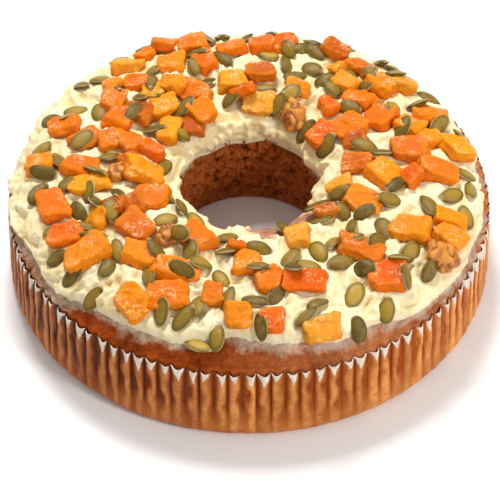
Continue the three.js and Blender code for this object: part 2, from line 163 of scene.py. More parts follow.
def place_piece(piece, material, slot, *nodes):
    """Ends a piece: its material and the solids that it stands for. It rides on the cake. Its slot is not
    used.
    """
    piece.data.materials.append(material)
    bpy.ops.object.select_all(action="DESELECT")
    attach(piece, "root")
    if nodes:
        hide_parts(*nodes)


def wall_radius_at(height):
    """Radius of the flutes at a height: a rounded foot, a belt, and a wall that leans in to the rim."""
    stations = [0, 0.7, 2.0, 4.2, belt_height, case_height]
    foot_curve = [foot_radius, foot_radius + 1.6, belt_radius - 1.5, belt_radius - 0.35]
    return np.interp(height, stations, foot_curve + [belt_radius, case_rim_radius])


def noise_at(places):
    """Smooth noise at each place, about -1 to 1."""
    return np.array([noise.noise(Vector(place)) for place in places])


bpy.ops.mesh.primitive_circle_add(
    vertices=pleat_count * corners_in_a_pleat, radius=case_hole_radius * millimetre, location=(0, 0, 0)
)
case = bpy.context.object
case.name = "pleated_paper_case"
bpy.ops.object.mode_set(mode="EDIT")
bpy.ops.mesh.select_all(action="SELECT")
reached = case_hole_radius
for base_radius in (80.0, foot_radius - 6, foot_radius - 3, foot_radius):
    bpy.ops.mesh.extrude_region_move()
    bpy.ops.transform.resize(value=(base_radius / reached, base_radius / reached, 1))
    reached = base_radius
climbed = 0.0
for wall_height in wall_heights:
    lift = (wall_height - climbed) * millimetre
    bpy.ops.mesh.extrude_region_move(TRANSFORM_OT_translate={"value": (0, 0, lift)})
    climbed = wall_height
bpy.ops.object.mode_set(mode="OBJECT")

places = points_of(case)
turn = np.arctan2(places[:, 1], places[:, 0])
flat_radius = np.hypot(places[:, 0], places[:, 1])
pleat_place = (turn / (2 * math.pi) * pleat_count + 0.5) % pleat_count
pleat_number = np.floor(pleat_place + 1e-6).astype(int) % pleat_count
phase = pleat_place - np.floor(pleat_place + 1e-6)
pleat_stretch = drawn_case.uniform(0.6, 1.0, pleat_count)
pleat_lean = drawn_case.uniform(-0.22, 0.22, pleat_count)
pleat_tone = drawn_case.uniform(0, 1, pleat_count)
tip_reach = drawn_case.uniform(4.2, 10.0, pleat_count)
tip_width = drawn_case.uniform(0.6, 1.05, pleat_count)

# A smear of frosting over the rim at the front right widens the pale tips of a few pleats
smeared = slice(103, 108)
smear_reach, smear_width = 4, 0.9
tip_reach[smeared] += smear_reach
tip_width[smeared] += smear_width

# The flutes are shallow at the foot and deep at the rim. Each leans and sways on its way up, and the rim
# dips between two folds. Wide and narrow creases, deepest at the foot, cross them.
depth_heights, depth_shares = [0, 0.08, 0.3, 0.6, 1], [0.05, 0.15, 0.45, 0.85, 1.1]
flute_fullness = 0.75
sway = 0.55
wide_crease, narrow_crease = 0.4, 0.25
scallop_depth, scallop_start = 1.1, 0.8
on_wall = flat_radius > foot_radius - 0.5
height = places[:, 2]
share_up = np.clip(height / case_height, 0, 1)
swaying = sway * noise_at(places / (6, 6, 9) + (0, 0, 80)) * np.sin(math.pi * share_up)
leaning = np.clip(phase + (pleat_lean[pleat_number] + swaying) * np.sin(math.pi * phase), 0, 1)
bulge = np.abs(np.sin(math.pi * leaning)) ** flute_fullness
depth = pleat_depth * np.interp(share_up, depth_heights, depth_shares)
depth = depth * (0.6 + 0.4 * pleat_stretch[pleat_number])
creases = wide_crease * np.abs(noise_at(places / (9, 9, 7)))
creases += narrow_crease * np.abs(noise_at(places / (3, 3, 6) + (0, 0, 40)))
radius = wall_radius_at(height) - depth * (1 - bulge) - (1.6 - share_up) * creases
radius = np.where(on_wall, radius, flat_radius)
dip = scallop_depth * bulge * np.clip((share_up - scallop_start) / (1 - scallop_start), 0, 1)
height = np.where(on_wall, height - dip, height)
put_points(case, round_axis(radius, turn, height))

keep_value(case, "across", np.where(on_wall, np.abs(2 * leaning - 1), 0.5))
keep_value(case, "below_rim", case_height - height)
keep_value(case, "tip_reach", tip_reach[pleat_number])
keep_value(case, "tip_width", tip_width[pleat_number])
keep_value(case, "tone", pleat_tone[pleat_number])
finish_with(case, "SOLIDIFY", thickness=paper_thickness * millimetre, offset=1)


def add_node(tree, kind, inputs=None, **settings):
    """A shader node with its settings, and its inputs given as values or as other nodes' outputs."""
    made = tree.nodes.new(kind)
    for name, value in settings.items():
        setattr(made, name, value)
    for name, value in (inputs or {}).items():
        if isinstance(value, bpy.types.NodeSocket):
            tree.links.new(value, made.inputs[name])
        else:
            made.inputs[name].default_value = value
    return made


def calculate(tree, operation, *values):
    """A math node's result."""
    return add_node(tree, "ShaderNodeMath", dict(enumerate(values)), operation=operation).outputs[0]


def times(tree, first, second):
    return calculate(tree, "MULTIPLY", first, second)


def blend_colour(tree, share, first, second):
    """Two colours mixed by a share, which is a number or a mask."""
    mixer = add_node(tree, "ShaderNodeMix", data_type="RGBA")
    for socket, value in zip((mixer.inputs[0], mixer.inputs[6], mixer.inputs[7]), (share, first, second)):
        if isinstance(value, bpy.types.NodeSocket):
            tree.links.new(value, socket)
        else:
            socket.default_value = value
    return mixer.outputs[2]


def tint(tree, colour, mask, most, hex_colour):
    """A colour turned towards another by a mask, and by this share where the mask is 1."""
    return blend_colour(tree, times(tree, mask, most), colour, paint(hex_colour))


def spread(tree, value, low=0.0, high=1.0, least=0.0, most=1.0):
    """A value that runs from low to high, made to run from least to most and held there."""
    ends = {"Value": value, "From Min": low, "From Max": high, "To Min": least, "To Max": most}
    return add_node(tree, "ShaderNodeMapRange", ends).outputs[0]


def rightwards(tree, left, right):
    """A mask that runs from 0 at the left to 1 at the right, between these two in metres."""
    position = add_node(tree, "ShaderNodeTexCoord").outputs["Object"]
    side = add_node(tree, "ShaderNodeSeparateXYZ", {"Vector": position}).outputs["X"]
    return spread(tree, side, left, right)


def stored(tree, name, output="Fac"):
    """A value that the mesh stores for each vertex."""
    return add_node(tree, "ShaderNodeAttribute", attribute_name=name).outputs[output]


def speckle(tree, scale, detail=4.0, roughness=0.6, low=0.35, high=0.65):
    """Cloudy noise on object coordinates, spread out to run from 0 to 1. scale is in grains a metre."""
    coordinates = add_node(tree, "ShaderNodeTexCoord").outputs["Object"]
    inputs = {"Vector": coordinates, "Scale": scale, "Detail": detail, "Roughness": roughness}
    return spread(tree, add_node(tree, "ShaderNodeTexNoise", inputs).outputs["Fac"], low, high)


def bump(tree, shader, height, strength, distance):
    """Small relief of this distance in metres, on the shader's normal."""
    inputs = {"Height": height, "Strength": strength, "Distance": distance}
    relief = add_node(tree, "ShaderNodeBump", inputs)
    tree.links.new(relief.outputs["Normal"], shader.inputs["Normal"])


paper, tree, shader = new_material("greasy_brown_paper", 0.5, Specular_IOR_Level=0.1)
mottle = speckle(tree, 170, 6)
fine_mottle = speckle(tree, 900, 3)
light_from_right = rightwards(tree, -0.11, 0.1)
across = stored(tree, "across")
below_rim = stored(tree, "below_rim")
# Painted light: the soaked paper runs from dark at the left to light at the right, as if lit from the right.
soaked_and_shaded = blend_colour(tree, light_from_right, paint("c4682c"), paint("ffaa52"))
# Painted highlight: pale speckles on the crests of the flutes, where they catch the light.
soaked_and_shaded = tint(tree, soaked_and_shaded, fine_mottle, spread(tree, across, 0.65, 0.1, most=0.8), "fcc078")
soaked_and_shaded = tint(tree, soaked_and_shaded, mottle, 0.4, "9a440a")
soaked_and_shaded = tint(tree, soaked_and_shaded, stored(tree, "tone"), 0.4, "742e08")
soaked_and_shaded = tint(tree, soaked_and_shaded, speckle(tree, 45, 3), 0.4, "8c3c06")
# Painted shade: the folds between the flutes, near black at the left and dark brown at the right, fading out
# towards the foot.
fold_shade_mask = times(tree, spread(tree, across, 0.38, 0.86), spread(tree, below_rim, 40.0, 22.0))
painted_fold_shade = blend_colour(tree, light_from_right, paint("340c02"), paint("a44608"))
soaked_and_shaded = blend_colour(tree, times(tree, fold_shade_mask, 0.95), soaked_and_shaded, painted_fold_shade)
sideways = calculate(tree, "DIVIDE", across, stored(tree, "tip_width"))
downwards = calculate(tree, "DIVIDE", below_rim, stored(tree, "tip_reach"))
ragged = times(tree, calculate(tree, "SUBTRACT", speckle(tree, 1200, 3), 0.5), 0.25)
outside_tip = calculate(tree, "ADD", calculate(tree, "ADD", sideways, downwards), ragged)
dry = spread(tree, outside_tip, 1.08, 0.92)
dry_paper = blend_colour(tree, fine_mottle, paint("cdbfae"), paint("e9dfce"))
tree.links.new(blend_colour(tree, dry, soaked_and_shaded, dry_paper), shader.inputs["Base Color"])
tree.links.new(spread(tree, dry, least=0.42, most=0.8), shader.inputs["Roughness"])
bump(tree, shader, calculate(tree, "ADD", mottle, fine_mottle), 0.5, 0.0005)
place_piece(case, paper, "paper", "paper_case")


# Cake. Moist dark sponge, baked in the case, domed over its rim and with a hole through the middle
# whose cut wall shows coarse crumb. The spun section is roughened as broken and baked crumb is.
hole_radius = 36.0
crown_radius = 76.0
crown_height = 57.0
inner_spring = 38.0
outer_spring = case_height - 1
wall_radius = 116.25
hole_shift = 1.5
hole_squareness = 2 / 2.8
sponge_steps = 480


def crown_point(inside, rise, turn, thickness):
    """Radius and height of the crown. rise is the angle on its oval, 90 degrees at the highest circle."""
    hole_here = hole_radius + hole_shift * np.sin(turn)
    reach = np.where(inside, crown_radius - hole_here, wall_radius - crown_radius) + thickness
    spring = np.where(inside, inner_spring, outer_spring)
    power = np.where(inside, hole_squareness, 1.0)
    out = reach * np.maximum(0, np.cos(rise)) ** power
    tall = crown_height - spring + thickness
    return crown_radius + np.where(inside, -out, out), spring + tall * np.sin(rise) ** power


outer_rises = np.radians(np.linspace(0, 90, 40))
inner_rises = np.radians(np.linspace(86, 0, 26))
sponge_foot = [(40.6, 0.95), (foot_radius - 2.9, 0.95), (belt_radius - 2.9, belt_height), (117.2, 25)]
hole_wall = [(36.2 + 0.045 * (38 - z), z) for z in np.linspace(36.5, 6.5, 24)] + [(38.8, 3.2)]
section = [(r, z, False, -1.0) for r, z in sponge_foot]
section += [(*crown_point(False, rise, 0, 0), False, rise) for rise in outer_rises]
section += [(*crown_point(True, rise, 0, 0), True, rise) for rise in inner_rises]
section += [(r, z, True, -1.0) for r, z in hole_wall]
section_places = np.array([(r, z) for r, z, _, _ in section], dtype=float)
section_inside = np.array([row[2] for row in section])
section_rise = np.array([row[3] for row in section], dtype=float)


def rim_swell(inside, rise):
    """How far the baked rim bulges over the paper's edge, in millimetres."""
    return np.where(inside, 0, 1.9 * np.exp(-((rise / math.radians(10)) ** 2)))


def spin_section(name, outline, steps):
    """A closed ring: a circle's vertices are put on the outline of radii and heights, then spun."""
    bpy.ops.mesh.primitive_circle_add(vertices=len(outline), radius=0.01, location=(0, 0, 0))
    piece = bpy.context.object
    piece.name = name
    put_points(piece, np.column_stack([outline[:, 0], np.zeros(len(outline)), outline[:, 1]]))
    bpy.ops.object.mode_set(mode="EDIT")
    bpy.ops.mesh.select_all(action="SELECT")
    bpy.ops.mesh.spin(steps=steps, angle=2 * math.pi, center=(0, 0, 0), axis=(0, 0, 1))
    bpy.ops.mesh.select_all(action="SELECT")
    bpy.ops.mesh.remove_doubles(threshold=1e-6)
    bpy.ops.mesh.normals_make_consistent(inside=False)
    bpy.ops.object.mode_set(mode="OBJECT")
    return piece


def nearest_on_outline(piece, outline):
    """For each vertex of a spun ring, its turn round the axis and its number on the outline."""
    places = points_of(piece)
    turn = np.arctan2(places[:, 1], places[:, 0])
    radius = np.hypot(places[:, 0], places[:, 1])
    number = np.empty(len(places), dtype=int)
    for start in range(0, len(places), 20000):
        part = slice(start, start + 20000)
        apart = np.abs(radius[part, None] - outline[:, 0]) + np.abs(places[part, 2, None] - outline[:, 1])
        number[part] = apart.argmin(axis=1)
    return turn, number


def grain(places, size, kind="plain"):
    """Noise of this grain size in millimetres at each place: plain runs both ways, ridged from 0 to 1."""
    values = noise_at(places / size)
    return 1 - np.abs(values) * 2 if kind == "ridged" else values


def normals_of(piece):
    normals = np.empty(len(piece.data.vertices) * 3)
    piece.data.vertices.foreach_get("normal", normals)
    return normals.reshape(-1, 3)


def push_out(piece, places, push, shift=0):
    """Puts a mesh's vertices at places moved outwards by push, and all by shift."""
    put_points(piece, places + normals_of(piece) * push[:, None] + shift)


sponge = spin_section("cake_sponge", section_places, sponge_steps)
turn, number = nearest_on_outline(sponge, section_places)
rise = section_rise[number]
inside = section_inside[number]
on_crown = rise >= 0
crown_r, crown_z = crown_point(inside, np.maximum(rise, 0), turn, rim_swell(inside, rise))
wall_r = section_places[number, 0] + np.where(inside, hole_shift * np.sin(turn), 0)
radius = np.where(on_crown, crown_r, wall_r)
height = np.where(on_crown, crown_z, section_places[number, 1])

# Near the rim it has swelled into the flutes of the paper
swell_foot = 24
swell_gap = 0.5
flute = np.abs(np.sin(turn / 2 * pleat_count + math.pi / 2)) ** flute_fullness
in_flutes = wall_radius_at(height) - pleat_depth * 1.15 * (1 - flute) - paper_thickness - swell_gap
at_rim = ~inside & (height > swell_foot) & (height < case_height + 1)
radius = np.where(at_rim, np.maximum(radius, in_flutes), radius)
put_points(sponge, round_axis(radius, turn, height))

# The hole's wall is torn into coarse crumbs and pits, and the baked crust is only uneven
hole_wall_reach = 48
foot_height = 3
places = points_of(sponge)
in_hole = inside & (radius < hole_wall_reach)
coarse = grain(places, 3.8) + 0.8 * grain(places + 50, 1.8) + 0.5 * grain(places + 90, 0.9)
fine = 0.6 * grain(places + 20, 2.6) + 0.5 * grain(places + 70, 1.3)
pits = np.clip(grain(places + 130, 4.5) - 0.32, 0, 1) * 6
torn_relief, torn_inset, torn_pits = 1.7, 0.8, 0.4
crust_relief, crust_inset, crust_pits = 0.45, 0.3, 0.35
torn_push = torn_relief * coarse - torn_inset - torn_pits * pits
crust_push = crust_relief * fine - crust_inset - crust_pits * pits
push = np.where(in_hole, torn_push, crust_push)
push = np.where((height < foot_height) & ~inside, 0, push)
push_out(sponge, places, push)

# The frosting's lowest reach outside, in degrees of rise, at even steps round the ring from +X, and the
# ripples on it, each with its size, how many go round and where they start
outer_reach = [18, 22, 28, 35, 24, 12, 8, 18, 32, 43, 28, 12]
outer_ripples = [(2.6, 11, 0.7), (2, 19, 2.1)]
inner_reach = 12
inner_ripples = [(8, 2, -math.pi / 2), (4, 5, 0.4), (3, 9, 0)]


def bell(distance, width):
    return np.exp(-((distance / width) ** 2))


def smooth(share):
    t = np.clip(share, 0, 1)
    return t * t * (3 - 2 * t)


def waves(ripples, turn):
    return sum(size * np.sin(count * turn + start) for size, count, start in ripples)


def outer_edge(turn):
    """How low the frosting reaches outside, as a rise in radians."""
    place = ((turn / (2 * math.pi) + 1) % 1) * len(outer_reach)
    step = np.floor(place).astype(int)
    reach = np.array(outer_reach, dtype=float)
    here = reach[step % len(reach)]
    beyond = reach[(step + 1) % len(reach)]
    return np.radians(here + (beyond - here) * smooth(place - step) + waves(outer_ripples, turn))


def inner_edge(turn):
    """How low the frosting folds into the hole, as a rise in radians."""
    return np.radians(inner_reach + waves(inner_ripples, turn))


def degrees_from(turn, direction):
    """How far each turn lies from a direction, in degrees from -180 to 180."""
    return (np.degrees(turn) - direction + 540) % 360 - 180


# A thin milky film of sugar runs on below the frosting, widest at the left. Its width is in degrees of rise.
film_usual, film_front, film_left, film_uneven = 16, 6, 24, 14
film_width = film_usual + film_front * np.cos(turn - math.radians(-60))
film_width += film_left * bell(degrees_from(turn, 192), 28)
film_width = np.radians(film_width + film_uneven * grain(places + 30, 13))
edge_here = np.where(inside, inner_edge(turn), outer_edge(turn))
film = smooth((np.maximum(rise, 0) - edge_here + film_width) / film_width)
film = np.where(on_crown, film, 0)
keep_value(sponge, "film", film)
keep_value(sponge, "cut", smooth((44 - radius) / 4))
# Painted shade: how deep each point of the torn wall lies in a hollow or pit, for the material to darken.
keep_value(sponge, "hollow", np.where(in_hole, np.clip(-0.1 - 1.1 * coarse + 0.5 * pits, 0, 1), 0))
keep_value(sponge, "low", np.where(in_hole, smooth((9 - height) / 6), 0))

crumb, tree, shader = new_material("dark_moist_crumb", 0.5, Specular_IOR_Level=0.06)
crumb_cloud = speckle(tree, 260, 8, 0.7)
crumb_grain = speckle(tree, 1500, 4, 0.7, 0.3, 0.7)
dark_grain = speckle(tree, 800, 5, 0.7, 0.42, 0.62)
light_from_right = rightwards(tree, -0.02, 0.06)
crust = blend_colour(tree, crumb_cloud, paint("701400"), paint("a63e02"))
# Painted light: the crust is painted lighter and pinker towards the right, where the light comes from.
lit_pink_crust = blend_colour(tree, crumb_cloud, paint("bc663a"), paint("d68e60"))
crust = blend_colour(tree, light_from_right, crust, lit_pink_crust)
crust = tint(tree, crust, dark_grain, 0.35, "5e1402")
crust = tint(tree, crust, crumb_grain, 0.34, "d47828")
torn = blend_colour(tree, crumb_cloud, paint("8c2e02"), paint("cc6a28"))
torn = tint(tree, torn, crumb_grain, 0.35, "dc8c4a")
# Painted shade in the hollows and pits of the torn wall.
torn = tint(tree, torn, stored(tree, "hollow"), 0.85, "3c1002")
torn = tint(tree, torn, stored(tree, "low"), 0.4, "cf8650")
sponge_colour = blend_colour(tree, stored(tree, "cut"), crust, torn)
film_cloud = times(tree, speckle(tree, 130, 7, 0.72, 0.38, 0.62), 0.7)
broken_film = calculate(tree, "ADD", stored(tree, "film"), film_cloud)
# The film is painted a little lighter and pinker to the right as well, as painted light.
film_colour = blend_colour(tree, light_from_right, paint("e0d0b0"), paint("e6d2c0"))
film_mask = spread(tree, broken_film, 0.65, 1.6, most=0.9)
sponge_colour = blend_colour(tree, film_mask, sponge_colour, film_colour)
tree.links.new(sponge_colour, shader.inputs["Base Color"])
bump(tree, shader, calculate(tree, "ADD", crumb_grain, crumb_cloud), 0.7, 0.0009)
place_piece(sponge, crumb, "sponge", "sponge")


# Where the toppings lie. They are strewn by hand: a few seeds first, then the fruit from large to small,
# then more seeds, each coming to rest on what lies there. The solids follow this rule too, and the
# last seeds and scraps of fruit, after theirs, are shown here alone. It works in millimetres.
frosting_thickness = 4.2

# It thickens from its edge over this much rise, and over less at the left, where it bulges to the rim of
# the paper. A low lip of it stands on the hole's back rim.
cover_rise = 16
bluff = {"less": 9, "turn": 185, "half_turn": 34}
spoon_marks = {"broad": 1.1, "broad_x": 8.6, "broad_y": 7.4, "bend_x": 9.3, "bend_y": 10.4, "bend": 1.15}
spoon_ridges = {"height": 0.45, "x": 3.9, "y": 5.7, "across_x": 6.1, "across_y": 4.3}
lip = {"height": 2.6, "turn": 90, "half_turn": 24, "rise": 0.62, "half_rise": 0.4}
frosting_fullness = 0.7


def spoon_relief(x, y):
    """Soft heaps and furrows that the spoon leaves."""
    m, n = spoon_marks, spoon_ridges
    over_x = np.sin(x / m["broad_x"] + m["bend"] * np.sin(y / m["bend_y"]))
    over_y = np.sin(y / m["broad_y"] + m["bend"] * np.sin(x / m["bend_x"] + 2))
    narrow = np.sin(x / n["x"] + y / n["y"]) * np.sin(y / n["across_y"] - x / n["across_x"])
    return m["broad"] * over_x * over_y + n["height"] * narrow


def frosting_at(inside, rise, turn):
    """The frosting's thickness on the crown."""
    edge = np.where(inside, inner_edge(turn), outer_edge(turn))
    from_bluff = bell(degrees_from(turn, bluff["turn"]), bluff["half_turn"])
    over = cover_rise - np.where(inside, 0, bluff["less"] * from_bluff)
    cover = (rise - edge) / np.radians(over)
    radius, _ = crown_point(inside, rise, turn, 0.0)
    marks = spoon_relief(radius * np.cos(turn), radius * np.sin(turn)) * smooth(cover)
    raised = bell(degrees_from(turn, lip["turn"]), lip["half_turn"])
    raised = raised * bell(rise - lip["rise"], lip["half_rise"])
    lip_here = np.where(inside, lip["height"] * raised, 0.0)
    full = frosting_thickness * smooth(cover) ** frosting_fullness
    return np.clip(cover * 4, -1, 0) + full + marks + lip_here


def surface_height(x, y):
    """Height of the frosting, or of the bare cake past its edge, over a point of the plan."""
    radius = np.hypot(x, y)
    turn = np.arctan2(y, x)
    inside = radius < crown_radius
    wall, _ = crown_point(inside, 0.0, turn, 0.0)
    out = np.clip(np.abs(radius - crown_radius) / np.abs(wall - crown_radius), 0, 1)
    power = np.where(inside, hole_squareness, 1.0)
    rise = np.arccos(out ** (1 / power))
    thickness = np.maximum(0, frosting_at(inside, rise, turn))
    edge, spring = crown_point(inside, 0.0, turn, thickness)
    _, top = crown_point(inside, math.pi / 2, turn, thickness)
    share = np.clip(np.abs(radius - crown_radius) / np.abs(edge - crown_radius), 0, 1) ** (2 / power)
    return spring + (top - spring) * (1 - share) ** (power / 2)


drawn_number = 20231


def draw():
    """The next number from 0 to 1 in a fixed order."""
    global drawn_number
    drawn_number = (drawn_number * 1664525 + 1013904223) & 0xFFFFFFFF
    return drawn_number / 4294967296


def between(low, high):
    return low + (high - low) * draw()


relief_half = 124
grid = np.arange(-relief_half, relief_half + 1, dtype=float)
relief = surface_height(grid[None, :], grid[:, None])
bare_relief = relief.copy()


def relief_at(x, y, heights=None):
    """The height of what lies at a point of the plan, between the four nearest points of the map."""
    heights = relief if heights is None else heights
    u = min(max(x + relief_half, 0), 2 * relief_half - 1)
    v = min(max(y + relief_half, 0), 2 * relief_half - 1)
    i, j = int(u), int(v)
    near = heights[j, i] + (heights[j, i + 1] - heights[j, i]) * (u - i)
    far = heights[j + 1, i] + (heights[j + 1, i + 1] - heights[j + 1, i]) * (u - i)
    return near + (far - near) * (v - j)


grip_share = 0.7


def settle(item):
    """Gives a topping the pose in which it rests, and marks it on the map."""
    x, y, half = item["x"], item["y"], item["half"]
    along = (math.cos(item["yaw"]), math.sin(item["yaw"]))
    across = (-along[1], along[0])
    grip = [size * grip_share for size in half]
    ends = [relief_at(x + along[0] * s * grip[0], y + along[1] * s * grip[0]) for s in (1, -1)]
    sides = [relief_at(x + across[0] * s * grip[1], y + across[1] * s * grip[1]) for s in (1, -1)]
    steepest = math.tan(item["tilt"])
    pitch = min(max((ends[0] - ends[1]) / (2 * grip[0]), -steepest), steepest)
    roll = min(max((sides[0] - sides[1]) / (2 * grip[1]), -steepest), steepest)
    rest = max(relief_at(x, y), sum(ends) / 2, sum(sides) / 2)
    climb, bank = pitch + item["lean"][0], roll + item["lean"][1]
    z = rest + (half[2] - item["sink"]) * math.sqrt(1 + climb * climb + bank * bank)
    stamp(item, along, across, pitch, roll, z)
    u = Vector((along[0], along[1], climb)).normalized()
    w = u.cross(Vector((across[0], across[1], bank))).normalized()
    v = w.cross(u)
    turned = Matrix((u, v, w)).transposed().to_4x4()
    item["pose"] = Matrix.Translation((x, y, z)) @ turned


def stamp(item, along, across, pitch, roll, z):
    half = item["half"]
    reach = math.ceil(max(half[0], half[1]))
    for j in range(math.floor(item["y"]) - reach, math.floor(item["y"]) + reach + 2):
        for i in range(math.floor(item["x"]) - reach, math.floor(item["x"]) + reach + 2):
            dx, dy = i - item["x"], j - item["y"]
            a = dx * along[0] + dy * along[1]
            b = dx * across[0] + dy * across[1]
            off = (a / half[0]) ** 2 + (b / half[1]) ** 2
            if off < 1:
                top = z + a * pitch + b * roll + half[2] * math.sqrt(1 - off * off)
                cell = (j + relief_half, i + relief_half)
                relief[cell] = max(relief[cell], top)


# A seed's nearest and furthest distance from the axis, and how many spots are drawn for it
strewn = {"low": 41, "high": 111, "tries": 12}


def seed_spot(laid, heap_share):
    """Of a few spots drawn, the one furthest from other seeds and least high on the fruit."""
    best = None
    for _ in range(strewn["tries"]):
        angle = 2 * math.pi * draw()
        low, high = strewn["low"] ** 2, strewn["high"] ** 2
        radius = math.sqrt(low + (high - low) * draw())
        x, y = radius * math.cos(angle), radius * math.sin(angle)
        apart = min(math.hypot(x - other["x"], y - other["y"]) - other["room"] for other in laid)
        clear = apart - heap_share * (relief_at(x, y) - relief_at(x, y, bare_relief))
        if best is None or clear > best[2]:
            best = (x, y, clear)
    return best[:2]


def lay(kind, place, size, yaw, sink, tilt, most_lean, room=None):
    """Lays a topping. most_lean is how much steeper than what is under it it may lie, each way."""
    half = [length / 2 for length in size]
    item = dict(kind=kind, x=place[0], y=place[1], half=half, yaw=yaw, sink=sink, tilt=tilt)
    item["room"] = half[0] * 0.4 if room is None else room
    item["lean"] = [between(-steep, steep) if steep else 0 for steep in most_lean]
    settle(item)
    return item


def place_at(azimuth, distance):
    return distance * math.cos(math.radians(azimuth)), distance * math.sin(math.radians(azimuth))


# Walnut pieces: azimuth in degrees, distance from the axis, and whole length, width and thickness
walnut_spots = [(327, 109, 19, 15, 8), (60, 44, 18, 13, 9), (186, 64, 14, 10, 7), (232, 63, 13, 10, 7)]

# Larger dice of apricot: azimuth in degrees, distance from the axis, whole length and width, which way
# the length points in the plan, in degrees, and the colour: o orange, r red, a amber, b brown, p pale
apricot_spots = [
    (7, 79, 19, 16, 0, "b"), (22, 99, 18, 15, -30, "o"), (8, 104, 17, 13, -60, "a"),
    (27, 73, 18, 16, 60, "r"), (29, 56, 20, 17, 35, "o"), (40, 73, 15, 13, -30, "o"),
    (40, 90, 15, 13, -40, "o"), (52, 93, 17, 11, -25, "b"), (1, 53, 16, 12, -10, "b"),
    (354, 66, 18, 16, -40, "a"), (357, 92, 21, 13, 0, "o"), (334, 61, 20, 15, -25, "o"),
    (330, 89, 18, 14, -20, "a"), (340, 102, 17, 11, -10, "a"), (334, 105, 17, 12, -30, "p"),
    (311, 79, 22, 12, -15, "b"), (312, 98, 19, 16, 0, "r"), (288, 83, 22, 14, -5, "r"),
    (288, 108, 18, 12, 15, "p"), (277, 79, 16, 12, 30, "o"), (269, 67, 15, 14, 90, "o"),
    (267, 98, 14, 13, 90, "a"), (245, 80, 22, 12, -5, "o"), (246, 94, 20, 16, -5, "o"),
    (244, 57, 19, 16, -50, "o"), (239, 105, 17, 14, -40, "a"), (230, 80, 20, 16, -20, "o"),
    (220, 70, 18, 15, -45, "b"), (218, 97, 22, 14, 30, "o"), (208, 99, 18, 13, 5, "r"),
    (196, 98, 21, 15, 105, "r"), (206, 53, 17, 15, -10, "b"), (188, 52, 20, 15, 0, "a"),
    (190, 79, 19, 11, 15, "a"), (181, 82, 19, 13, -10, "r"), (163, 97, 18, 13, 5, "o"),
    (168, 84, 18, 12, 35, "b"), (165, 61, 16, 11, -60, "b"), (148, 48, 17, 12, 80, "a"),
    (154, 72, 15, 13, 70, "r"), (145, 67, 17, 11, -50, "d"), (146, 83, 17, 12, 75, "b"),
    (136, 60, 16, 12, 30, "a"), (133, 44, 16, 12, 0, "d"), (122, 46, 14, 13, -45, "o"),
    (119, 59, 19, 15, -35, "o"), (118, 86, 15, 14, 0, "o"), (108, 96, 15, 13, 0, "o"),
    (97, 62, 16, 13, 10, "a"), (96, 88, 15, 12, 10, "o"), (79, 94, 15, 13, 80, "r"),
    (85, 69, 16, 14, 0, "d"), (84, 46, 21, 15, -10, "p"),
]

# Smaller dice, given alike. The last seven are shown here alone.
scrap_spots = [
    (37, 99, 14, 9, -20, "p"), (62, 97, 15, 9, -20, "d"), (47, 59, 12, 9, -70, "r"),
    (18, 55, 12, 9, 0, "d"), (353, 80, 12, 10, 40, "r"), (343, 47, 13, 12, 0, "p"),
    (322, 48, 12, 9, 0, "d"), (259, 87, 12, 10, 90, "b"), (208, 64, 12, 10, 20, "d"),
    (166, 72, 12, 11, 30, "b"), (168, 49, 14, 8, -35, "r"), (133, 84, 12, 10, 0, "r"),
    (122, 102, 12, 9, 60, "o"), (116, 103, 12, 8, 10, "b"), (93, 51, 12, 9, 0, "r"),
    (12, 93, 13, 11, 20, "a"), (51, 77, 14, 11, -40, "p"), (107, 80, 13, 10, -60, "r"),
    (66, 61, 15, 9, -20, "a"), (206, 73, 14, 10, 10, "d"), (294, 56, 13, 13, 0, "p"),
    (276, 101, 14, 12, 90, "r"), (86, 90, 14, 12, 0, "r"), (19, 85, 14, 12, -30, "a"),
    (34, 44, 14, 12, 40, "r"), (130, 98, 15, 11, -10, "p"), (125, 69, 14, 10, -40, "a"),
    (178, 104, 14, 13, 0, "a"), (57, 84, 10, 8, 40, "a"), (264, 57, 10, 7, 10, "b"),
    (207, 81, 10, 9, 60, "a"), (139, 92, 10, 8, 20, "p"), (112, 108, 10, 7, 0, "p"),
    (132, 73, 11, 9, 0, "a"), (176, 60, 11, 8, 40, "d"),
]
loose_scrap_count = 7

fruit = []
for azimuth, distance, *size in walnut_spots:
    turned = math.radians(azimuth) + 0.6
    fruit.append(lay("walnut", place_at(azimuth, distance), size, turned, 1.2, 0.6, (0, 0), size[0] / 2))
seeds = []


def lay_seed(steepest=0.75, heap_share=1.6):
    """Strews a seed. heap_share is how much it keeps off the fruit."""
    size = [13.5 * between(0.86, 1.12), 7.6 * between(0.88, 1.12), 3.0]
    place = seed_spot(seeds or fruit[:4], heap_share)
    yaw = between(0, 2 * math.pi)
    seeds.append(lay("seed", place, size, yaw, between(0.2, 1), steepest, (0.25, 0.75)))


def lay_fruit(kind, spots):
    for azimuth, distance, length, width, points, tone in spots:
        thickness = between(6.8, 5.2) if kind == "apricot" else length * 0.44
        size = [length, width, thickness]
        place = place_at(azimuth, distance)
        sink = between(0.6, 1.6)
        item = lay(kind, place, size, math.radians(points), sink, 0.5, (0.22, 0.22))
        item["tone"] = tone
        fruit.append(item)


first_seed_count, seed_count, loose_seed_count = 14, 60, 82
for _ in range(first_seed_count):
    lay_seed()
lay_fruit("apricot", apricot_spots)
lay_fruit("scrap", scrap_spots[:-loose_scrap_count])
for _ in range(first_seed_count, seed_count):
    lay_seed()


def draw_skews(items):
    """Draws how far each of a lump's corners is out of square."""
    for item in items:
        item["skew"] = [between(0.8, 1.14) for _ in range(8)]


draw_skews(fruit)

# The last scraps and seeds
solid_fruit = len(fruit)
lay_fruit("scrap", scrap_spots[-loose_scrap_count:])
draw_skews(fruit[solid_fruit:])
for _ in range(loose_seed_count):
    lay_seed(0.95, 3.5)


